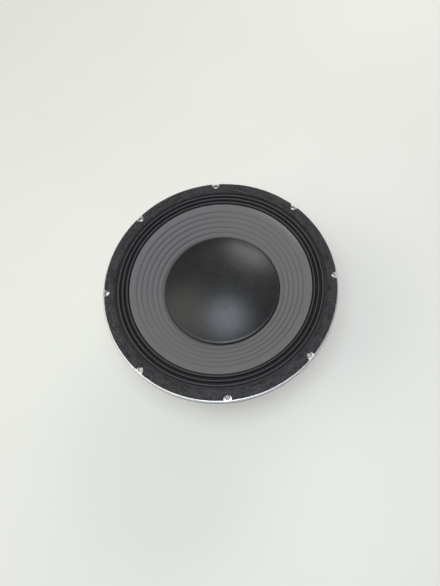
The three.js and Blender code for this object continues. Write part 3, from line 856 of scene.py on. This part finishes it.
def make_basket():
    basket = tidy(frame_grid())
    basket.name = "pressed_basket"
    windows = prism("windows", window_outline(), FLANGE - LEDGE_DEPTH - 10, FLANGE - 10)
    around(windows, LEG_COUNT, math.pi / LEG_COUNT)
    bolts = moved(rod("bolts", HOLE_RADIUS, FLANGE - 3, FLANGE + 1), shift(HOLE_CIRCLE_RADIUS, 0))
    around(bolts, HOLE_COUNT)
    studs = rod("studs", 3, -5, 3, 24)
    copies(studs, [at_terminal(side) for side in POLES.values()])
    combined(basket, [windows, bolts, studs])
    finished(basket, "steel", 32)
    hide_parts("basket")
    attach(basket, FRAME_BODY)


def make_frame_rivets():
    seat = MOTOR_TOP + SHEET
    for i in range(RIVET_COUNT):
        name = f"frame_rivet_{i + 1}"
        outline = bent([
            (0, TOP_PLATE_BOTTOM + 2), (2.2, TOP_PLATE_BOTTOM + 2),
            (2.2, seat), (4.2, seat, 0.2),
            (4.1, seat + 1.2, 0.6), (2.6, seat + 2.6, 1),
            (0.8, seat + 2.5, 0.4), (0, seat + 2.3),
        ])
        rivet = turned("domed_" + name, outline, 32)
        angle = i * 2 * math.pi / RIVET_COUNT
        moved(rivet, turn(angle) @ shift(RIVET_CIRCLE_RADIUS, 0))
        finished(rivet, "steel")
        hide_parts(name)
        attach(rivet, FRAME_BODY)


# ---- gasket ----


def make_gasket():
    outline = filled_in(ring_outline([
        (139.7, CLOTH_SEAT, 0.1), (GASKET_STEP_RADIUS, CLOTH_SEAT, 0.1),
        (GASKET_STEP_RADIUS, FLANGE + 0.02, 0.1), (GASKET_RADIUS, FLANGE + 0.02, 0.2),
        (GASKET_RADIUS, GASKET_TOP, 0.7), (145.2, GASKET_TOP, 4),
        (141.2, GASKET_TOP - 1.6, 1.2), (139.8, GASKET_TOP - 2.9, 0.3),
    ]), 1.6)

    def uneven(angle, radius, height):
        wave = 0.10 * np.sin(5 * angle + 0.6) + 0.07 * np.sin(13 * angle + 2.1)
        edge = 0.16 * np.sin(37 * angle) * np.sin(11 * angle + 1.3)
        above = np.clip((height - CLOTH_SEAT) / (GASKET_TOP - CLOTH_SEAT), 0, 1)
        outside = np.clip((radius - 151) / 2, 0, 1)
        return radius - np.abs(edge) * outside, height - (0.17 + wave) * above * 0.9

    gasket = turned("moulded_gasket", outline, 320, uneven)
    end = NOTCH_END_RADIUS + NOTCH_HALF_WIDTH
    mouth = NOTCH_HALF_WIDTH * 1.06
    notch = [
        *arc((end, 0), NOTCH_HALF_WIDTH, math.pi / 2, 1.5 * math.pi, 20),
        (GASKET_RADIUS + 2, -mouth), (GASKET_RADIUS + 2, mouth),
    ]
    notches = around(prism("notches", notch, FLANGE - 2, GASKET_TOP + 2), HOLE_COUNT)
    combined(gasket, [notches])
    moved(gasket, shift(*GASKET_OFFSET))
    finished(gasket, "gasket", 38)
    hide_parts("gasket")
    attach(gasket, FRAME_BODY)


# ---- surround, cone and cap ----


def make_surround():
    thickness = 0.6
    crest = 3.1
    valley = -0.9
    middle = (crest + valley) / 2
    swing = (crest - valley) / 2
    last_crest = FIRST_CREST_RADIUS + 2 * ROLL_PITCH
    first_valley = FIRST_CREST_RADIUS - ROLL_PITCH / 2
    rolls = []
    for radius in np.arange(first_valley + 0.5, last_crest, 0.25):
        wave = math.cos(2 * math.pi * (radius - FIRST_CREST_RADIUS) / ROLL_PITCH)
        wave = 2 * ((1 + wave) / 2) ** 1.3 - 1
        rolls.append((radius, FLANGE + middle + swing * wave))
    edge = 0.65
    for radius in np.arange(last_crest, last_crest + ROLL_PITCH / 2, 0.25):
        fall = math.cos(2 * math.pi * (radius - last_crest) / ROLL_PITCH)
        rolls.append((radius, FLANGE + (crest + edge) / 2 + (crest - edge) / 2 * fall))
    line = [(115.5, FLANGE - 2.05), (118.5, FLANGE - 1.05), (120.4, FLANGE - 0.5), (120.9, FLANGE - 0.6)]
    line += [*rolls, (139.2, FLANGE + edge), (142.5, FLANGE + edge), (146, FLANGE + edge)]

    def uneven(angle, radius, height):
        ripple = np.sin(23 * angle + radius * 0.8) * np.sin(7 * angle)
        return radius, height + 0.05 * ripple

    surround = turned("pleated_surround", sheet_outline(line, thickness), 256, uneven)
    finished(surround, "surround", 60)
    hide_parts("surround")
    radial_blend(surround)


def cone_height(radius):
    """Height of the middle of the cone's paper, before ribs."""
    radii = (CONE_FOLD_RADIUS, CONE_BREAK_RADIUS, CONE_RADIUS)
    heights = (FLANGE - CONE_FOLD_DEPTH, FLANGE - 1.1, FLANGE + 1.4)
    return np.interp(radius, radii, heights)


def rib_height(radius):
    """Broad bands with a narrow valley between each two."""
    inside = LAST_RIB_RADIUS + RIB_PITCH / 2
    ribbed = (radius > inside - RIB_COUNT * RIB_PITCH) & (radius < inside)
    band = np.abs(np.sin(math.pi * (radius - LAST_RIB_RADIUS) / RIB_PITCH))
    return np.where(ribbed, RIB_DEPTH * (band ** 0.6 - 1), 0.0)


def make_cone():
    neck = bent([
        (NECK_RADIUS, FLANGE - 45), (NECK_RADIUS, FLANGE - 41, 2),
        (CONE_FOLD_RADIUS, FLANGE - CONE_FOLD_DEPTH, 6),
        (70, cone_height(70)),
    ])
    slope = [(r, cone_height(r)) for r in np.arange(70.4, 119.7, 0.4)]
    rim = [(120.2, cone_height(120.2)), (CONE_RADIUS, cone_height(CONE_RADIUS))]

    def uneven(angle, radius, height):
        lift = 0.06 * np.sin(3 * angle + 1) + 0.04 * np.sin(8 * angle)
        from_ribs = radius - RIB_CENTRE[0] * np.cos(angle) - RIB_CENTRE[1] * np.sin(angle)
        return radius, height + lift * np.clip((radius - 80) / 40, 0, 1) + rib_height(from_ribs)

    outline = sheet_outline(neck + slope + rim, 1.15)
    cone = turned("ribbed_cone", outline, 256, uneven)
    finished(cone, "cone", 50)
    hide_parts("cone")
    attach(cone, CONE_BODY)


def dome(radius, height, bottom, steps=40):
    """Points of a dome's arc from its edge to the axis."""
    sphere = (radius ** 2 + height ** 2) / (2 * height)
    edge = math.asin(radius / sphere)
    angles = edge * (1 - np.arange(steps + 1) / steps)
    return [(sphere * math.sin(a), bottom + height - sphere * (1 - math.cos(a))) for a in angles]


def make_cap():
    skirt = 2.4
    outside = dome(CAP_RADIUS - 2.2, CAP_TOP - CAP_BOTTOM - skirt, CAP_BOTTOM + skirt)
    inside = dome(CAP_RADIUS - 2.9, CAP_TOP - CAP_BOTTOM - skirt - 0.9, CAP_BOTTOM + skirt - 0.9)
    edge = [
        (CAP_RADIUS - 1.5, CAP_BOTTOM + 0.05), (CAP_RADIUS - 0.4, CAP_BOTTOM),
        (CAP_RADIUS - 0.25, CAP_BOTTOM + 0.2), (CAP_RADIUS - 0.5, CAP_BOTTOM + 1.2),
        (CAP_RADIUS - 0.8, CAP_BOTTOM + skirt - 0.6),
        (CAP_RADIUS - 1.15, CAP_BOTTOM + skirt - 0.15),
        (CAP_RADIUS - 1.7, CAP_BOTTOM + skirt + 0.04),
    ]
    cap = turned("domed_cap", [*inside[::-1], *edge, *outside], 192)
    finished(cap, "cap", 60)
    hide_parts("dust_cap")
    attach(cap, CONE_BODY)


def make_cap_seam():
    """The bead of glue between the cap's edge and the cone."""
    def uneven(angle, radius, height):
        swell = 0.12 * np.sin(9 * angle + 0.5) + 0.1 * np.sin(17 * angle + 2) + 0.08 * np.sin(41 * angle)
        outside = np.clip((radius - CAP_RADIUS) / 0.8, 0, 1)
        return radius + swell * outside, height

    base = CAP_RADIUS - 1.3
    outline = ring_outline([
        (base, cone_height(base) + 0.2, 0.1),
        (CAP_RADIUS + 0.6, cone_height(CAP_RADIUS + 0.6) + 0.4, 0.2),
        (CAP_RADIUS, CAP_BOTTOM + 0.2, 0.3), (base, CAP_BOTTOM + 0.3, 0.1),
    ])
    seam = turned("cap_glue_seam", outline, 256, uneven)
    finished(seam, "glue", 70)
    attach(seam, CONE_BODY)


# ---- spider and voice coil ----


def make_spider():
    base = FLANGE - 60
    line = [(38.9, base + 4), (38.9, base + 1.2), (39.4, base + 0.3), (40.6, base)]
    first = 43
    last = 79
    waves = 6
    for radius in np.arange(first, last + 0.01, 0.4):
        swing = 2.3 * math.sin(2 * math.pi * waves * (radius - first) / (last - first))
        fade = ease((radius - first) / 4) * ease((last - radius) / 4)
        line.append((radius, base + swing * fade))
    line += [(81, base - 0.1), (86, base - 0.1), (92.5, base - 0.1)]
    spider = turned("corrugated_spider", sheet_outline(line, 0.5), 192)
    finished(spider, "spider", 60)
    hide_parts("spider")
    radial_blend(spider)


def make_voice_coil():
    former = turned("foil_former", ring_outline([
        (FORMER_RADIUS - 0.4, FORMER_BOTTOM, 0.05), (FORMER_RADIUS, FORMER_BOTTOM, 0.05),
        (FORMER_RADIUS, FORMER_TOP, 0.05), (FORMER_RADIUS - 0.4, FORMER_TOP, 0.05),
    ]), 128)
    finished(former, "former")
    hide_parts("voice_coil_former")
    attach(former, CONE_BODY)

    wire = 0.55
    turns = int((WINDING_TOP - WINDING_BOTTOM) / wire)
    outside = []
    for i in range(turns):
        middle = WINDING_BOTTOM + (i + 0.5) * (WINDING_TOP - WINDING_BOTTOM) / turns
        outside += [(WINDING_RADIUS - wire / 2 + wire / 2 * math.cos(a), middle + wire / 2 * math.sin(a))
                    for a in np.linspace(-1.4, 1.4, 5)]
    inner = FORMER_RADIUS + 0.05
    winding = turned("wound_coil", [(inner, WINDING_BOTTOM), *outside, (inner, WINDING_TOP)], 96)
    finished(winding, "copper", 80)
    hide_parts("voice_coil_winding")
    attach(winding, CONE_BODY)


# ---- motor ----

BORE_RADIUS = 12
POLE_RADIUS = 36.7
GAP_RADIUS = 41.2
MAGNET_HOLE_RADIUS = 46
GLUE_RADIUS = 74.6


def make_yoke():
    outline = filled_in(ring_outline([
        (BORE_RADIUS, 1.4, 0.2), (BORE_RADIUS + 2, 1.4, 0.2),
        (BORE_RADIUS + 2, 0, 0.4), (YOKE_RADIUS - 1.5, 0, 0.4),
        (YOKE_RADIUS, 1.5, 0.4), (YOKE_RADIUS, MAGNET_BOTTOM, 0.3),
        (POLE_RADIUS, MAGNET_BOTTOM, 0.5), (POLE_RADIUS, POLE_TOP - 1, 0.4),
        (POLE_RADIUS - 1, POLE_TOP, 0.4), (BORE_RADIUS, POLE_TOP, 0.8),
    ], 3), 6)
    yoke = turned("turned_yoke", outline, 160)
    finished(yoke, "motor", 30)
    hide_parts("yoke")
    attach(yoke, FRAME_BODY)


def make_top_plate():
    outline = filled_in(ring_outline([
        (GAP_RADIUS, TOP_PLATE_BOTTOM, 0.3), (TOP_PLATE_RADIUS, TOP_PLATE_BOTTOM, 0.3),
        (TOP_PLATE_RADIUS, MOTOR_TOP - 1, 0.3), (TOP_PLATE_RADIUS - 1, MOTOR_TOP, 0.3),
        (GAP_RADIUS, MOTOR_TOP, 0.3),
    ], 3), 6)
    plate = turned("turned_top_plate", outline, 160)
    finished(plate, "motor", 30)
    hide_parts("top_plate")
    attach(plate, FRAME_BODY)


def make_magnet():
    outline = filled_in(ring_outline([
        (MAGNET_HOLE_RADIUS, MAGNET_BOTTOM, 0.3), (MAGNET_RADIUS - 1, MAGNET_BOTTOM, 0.3),
        (MAGNET_RADIUS, MAGNET_BOTTOM + 1, 0.4), (MAGNET_RADIUS, TOP_PLATE_BOTTOM - 1, 0.4),
        (MAGNET_RADIUS - 1, TOP_PLATE_BOTTOM, 0.3), (MAGNET_HOLE_RADIUS, TOP_PLATE_BOTTOM, 0.3),
    ], 3), 1.2)

    def chipped(angle, radius, height):
        rough = np.sin(61 * angle + height) * np.sin(23 * angle + 2) * np.sin(9 * angle + 0.4)
        middle = (MAGNET_BOTTOM + TOP_PLATE_BOTTOM) / 2
        edge = np.clip((np.abs(height - middle) - 8) / 2, 0, 1)
        outside = np.clip((radius - MAGNET_RADIUS + 2) / 2, 0, 1)
        return radius - 0.5 * edge * outside * np.clip(rough - 0.25, 0, 1), height

    magnet = turned("ferrite_magnet", outline, 320, chipped)
    finished(magnet, "ferrite", 40)
    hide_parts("magnet")
    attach(magnet, FRAME_BODY)


def make_motor_glue():
    """Glue squeezed out where the magnet meets the plates."""
    for name, height, side in (("rear", MAGNET_BOTTOM, 1), ("front", TOP_PLATE_BOTTOM, -1)):
        def uneven(angle, radius, z, phase=height):
            swell = 0.35 * np.sin(7 * angle + phase) * np.sin(3 * angle) + 0.2 * np.sin(29 * angle + phase)
            return radius + swell * np.clip((radius - GLUE_RADIUS - 0.4) / 1.2, 0, 1), z

        corners = [
            (GLUE_RADIUS, height - side * 0.9, 0.3), (GLUE_RADIUS + 1.4, height - side * 0.7, 0.5),
            (GLUE_RADIUS + 2, height + side * 0.25, 0.3), (GLUE_RADIUS, height + side * 0.25, 0.3),
        ]
        outline = ring_outline(corners[::side])
        bead = turned(f"{name}_magnet_glue", outline, 256, uneven)
        finished(bead, "glue", 70)
        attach(bead, FRAME_BODY)


def make_vent_screen():
    screen = turned("punched_vent_screen", bent([
        (0, 0.35), (10, 0.3, 1),
        (13.5, 0.3, 0.2), (13.7, 1.1, 0.3),
        (10, 1.1, 1), (0, 1.15),
    ]), 96)
    pitch = 2.7
    places = []
    for row in range(-5, 6):
        for column in range(-5, 6):
            x = pitch * (column + (row % 2) / 2)
            y = pitch * row * math.sqrt(3) / 2
            if math.hypot(x, y) < 11.4:
                places.append(shift(x, y))
    combined(screen, [copies(rod("punches", 0.85, -1, 3, 16), places)])
    finished(screen, "motor", 30)
    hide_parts("vent_screen")
    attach(screen, FRAME_BODY)


# ---- push terminals, laid out on the leg: +Z away from it, +Y up along it ----

PLATE_TOP = 4
BARREL_TOP = 13
BARREL_WIRE = 8.6
BUTTON_TRAVEL = 3
BUTTON_TOP = 19
BARREL_RADIUS = 6
WIRE_RADIUS = 1.7
RIVET_OFFSET = 10.5
POLES = {"positive": 1, "negative": -1}


def at_terminal(side, y=0):
    return terminal_place @ shift(side * TERMINAL_PITCH / 2, y)


def make_terminal_plate():
    plate = prism("moulded_terminal_plate", rounded_rectangle(28, 28, 3), 0.3, PLATE_TOP)
    both = [shift(side * TERMINAL_PITCH / 2, 0) for side in POLES.values()]
    ends = [shift(0, y) for y in (RIVET_OFFSET, -RIVET_OFFSET)]
    barrels = copies(rod("barrels", BARREL_RADIUS, 1, BARREL_TOP, 48), both)
    combined(plate, [barrels], "UNION")
    bores = copies(rod("bores", BARREL_RADIUS - 1.2, 1.6, 20, 48), both)
    stud_holes = copies(rod("stud_holes", 1.8, -1, 3, 24), both)
    rivet_holes = copies(rod("rivet_holes", 1.8, -1, 6, 24), ends)
    level = shift(0, 0, BARREL_WIRE) @ turn(math.pi / 2, "X")
    wires = copies(rod("wires", WIRE_RADIUS, -14, 14, 24), [place @ level for place in both])
    combined(plate, [bores, stud_holes, rivet_holes, wires])
    eased(plate, 0.25)
    moved(plate, terminal_place)
    finished(plate, "black_plastic", 30)
    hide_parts("terminal_plate")
    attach(plate, FRAME_BODY)


def make_button(pole, side):
    cap_bottom = BARREL_TOP + BUTTON_TRAVEL + 0.3
    button = turned(f"push_button_cap_{pole}", bent([
        (0, 7.3), (4.5, 7.3, 0.3),
        (4.5, cap_bottom, 0.2), (5.6, cap_bottom, 0.3),
        (5.6, BUTTON_TOP, 0.7), (3.6, BUTTON_TOP, 0.5),
        (2.4, BUTTON_TOP - 0.5, 0.8), (0, BUTTON_TOP - 0.6),
    ], 4), 64)
    ribs = around(moved(rod("ribs", 0.42, cap_bottom - 1, BUTTON_TOP + 1, 10), shift(5.75, 0)), 20)
    wire = moved(
        rod("wire", WIRE_RADIUS, -8, 8, 24),
        shift(0, 0, BARREL_WIRE + BUTTON_TRAVEL) @ turn(math.pi / 2, "X"),
    )
    combined(button, [ribs, wire])
    moved(button, at_terminal(side))
    colour = "red" if pole == "positive" else "black"
    finished(button, f"{colour}_plastic", 30)
    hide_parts(f"button_{pole}")
    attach(button, f"push_button_{pole}")


def make_button_spring(pole, side):
    bottom, top = 2.1, 6.8
    turns = 4
    angles = np.linspace(0, turns * 2 * math.pi, turns * 24 + 1)
    rise = bottom + (top - bottom) * ease(angles / angles[-1])
    helix = np.stack([3.2 * np.cos(angles), 3.2 * np.sin(angles), rise], axis=1)
    spring = tube(f"wound_button_spring_{pole}", helix, 0.28, 10)
    moved(spring, at_terminal(side))
    finished(spring, "steel", 60)
    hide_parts(f"button_spring_{pole}")
    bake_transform(spring)


def make_contact_lug(pole, side):
    lug = moved(
        prism(f"brass_contact_lug_{pole}", rounded_rectangle(6, 12, 2), -4.4, -3.6),
        shift(0, 3),
    )
    combined(lug, [rod("stud", 1.5, -4.2, 3.4, 24)], "UNION")
    eased(lug, 0.12)
    moved(lug, at_terminal(side))
    finished(lug, "brass", 30)
    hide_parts(f"contact_lug_{pole}")
    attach(lug, FRAME_BODY)

    blob = turned(f"lug_solder_{pole}", bent([
        (0, -6.1), (1.3, -6.0, 0.4),
        (2.2, -4.9, 0.6), (2.6, -4.38, 0.1),
        (0, -4.38),
    ]), 32)
    moved(blob, at_terminal(side, 6.6))
    finished(blob, "solder", 60)
    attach(blob, FRAME_BODY)


def make_terminal_rivets():
    for end, offset in (("upper", RIVET_OFFSET), ("lower", -RIVET_OFFSET)):
        rivet = turned(f"domed_terminal_rivet_{end}", bent([
            (0, -3.0), (2.4, -3.0, 0.4),
            (2.6, -2.2, 0.2), (1.5, -2.2),
            (1.5, PLATE_TOP + 0.3), (3, PLATE_TOP + 0.3, 0.3),
            (2.4, PLATE_TOP + 1.6, 0.7), (0, PLATE_TOP + 1.8),
        ], 5), 40)
        moved(rivet, terminal_place @ shift(0, offset))
        finished(rivet, "steel", 40)
        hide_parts(f"terminal_rivet_{end}")
        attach(rivet, FRAME_BODY)


# ---- tinsel leads ----

LEAD_ROUTE = [
    (112.2, 95.6), (108.6, 98),
    (103, 97.8), (96, 94.6),
    (88, 89), (79, 83.4),
    (69, 79.4), (59, 77.4),
    (50, 76.9), (44, 77.4),
    (39.6, 78),
]


def make_lead(pole, side):
    x = side * TERMINAL_PITCH / 2
    route = through([(x, -radius, z) for radius, z in LEAD_ROUTE], 0.7)

    def stranded(along, angles):
        return 0.86 + 0.13 * np.cos(5 * (angles - along * 2 * math.pi / 24))

    lead = tube(f"braided_tinsel_lead_{pole}", route, 1, 30, stranded)
    finished(lead, "braid", 80)
    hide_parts(f"tinsel_lead_{pole}")
    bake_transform(lead)


def make_lead_anchor(pole, side):
    x = side * TERMINAL_PITCH / 2
    angle = math.asin(x / FORMER_RADIUS)
    pad = prism(f"lead_anchor_pad_{pole}", rounded_rectangle(5, 6, 1), 0, 1)
    eased(pad, 0.25)
    moved(pad, turn(angle) @ shift(0, -FORMER_RADIUS - 0.05, 78) @ turn(math.pi / 2, "X"))
    finished(pad, "solder", 40)
    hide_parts(f"lead_anchor_{pole}")
    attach(pad, CONE_BODY)


# ---- stage ----


def make_floor():
    size = 3000
    corners = [(-size, -size, 0), (size, -size, 0), (size, size, 0), (-size, size, 0)]
    floor = new_object("floor", corners, [(0, 1, 2, 3)])
    g = Graph("pale_floor", Specular_IOR_Level=0.3, Roughness=0.6)
    cloud = g.noise(260, 3, 0.5)
    colour = g.mixed(cloud, grey(0.75, (1.0, 0.985, 0.9)), grey(0.79, (1.0, 0.985, 0.91)))
    floor.data.materials.append(g.feed(Base_Color=colour))


def softbox(name, direction, distance, size, power, colour):
    """A round area light that looks at the middle of the flange. Metres and watts."""
    middle = Vector((0, 0, FLANGE * MM))
    lamp = aimed(name, bpy.data.lights.new(name, "AREA"), middle, direction, distance)
    lamp.data.shape = "DISK"
    lamp.data.size = size
    lamp.data.energy = power
    lamp.data.color = colour


def light_scene():
    world = bpy.data.worlds.new("studio")
    world.use_nodes = True
    background = world.node_tree.nodes["Background"]
    background.inputs["Color"].default_value = (1.0, 0.99, 0.98, 1)
    background.inputs["Strength"].default_value = 0.3
    bpy.context.scene.world = world
    softbox("overhead", (0, 76), 1.6, 1.0, 17, (0.84, 0.91, 1.04))
    softbox("window", (155, 21), 2.4, 1.7, 27, (1.0, 1.0, 0.98))
    softbox("fill", (-88, 44), 2.2, 2.1, 15, (1.0, 1.0, 0.86))
    bpy.context.scene.view_settings.view_transform = "Standard"


# ---- everything ----

for pole_name, pole_side in POLES.items():
    for make in (make_lead, make_lead_anchor, make_button, make_button_spring, make_contact_lug):
        make(pole_name, pole_side)
for make in (
    make_terminal_plate, make_terminal_rivets, make_basket, make_frame_rivets, make_gasket,
    make_surround, make_cone, make_cap, make_cap_seam, make_spider, make_voice_coil,
    make_yoke, make_top_plate, make_magnet, make_motor_glue, make_vent_screen,
    make_floor, light_scene,
):
    make()
